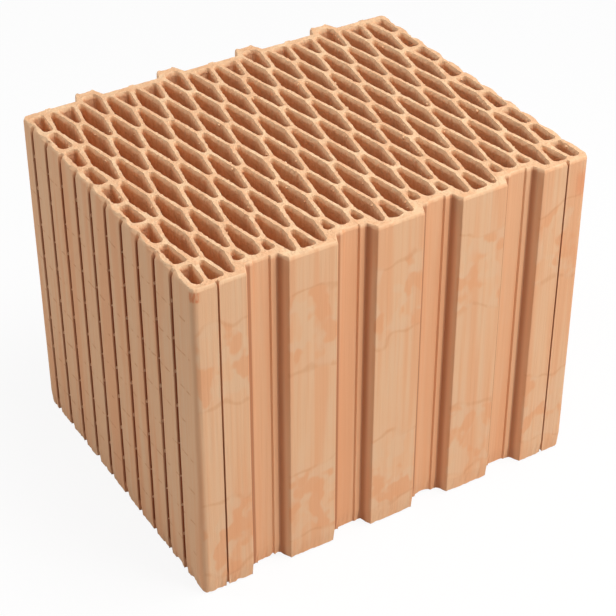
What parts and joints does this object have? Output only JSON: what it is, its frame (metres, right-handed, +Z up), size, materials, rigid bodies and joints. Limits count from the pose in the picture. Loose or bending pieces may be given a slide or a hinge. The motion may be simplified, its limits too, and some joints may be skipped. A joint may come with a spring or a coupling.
{
  "type": "hollow clay brick",
  "caption": "Large fired clay wall block with a lattice of upright diamond cells, tongue-and-groove ends and grooved side faces.",
  "frame": {"origin": "centre of the bottom bed, on the bounding box with the tongues included", "axes": "+X through the wall between the two grooved faces, +Y along the wall towards the tongued end, +Z up the cells"},
  "size_m": [0.3, 0.257, 0.249],
  "materials": {
    "fired_clay": "matt, unglazed"
  },
  "bodies": {
    "root": {"clay_block": "fired_clay"}
  },
  "joints": []
}
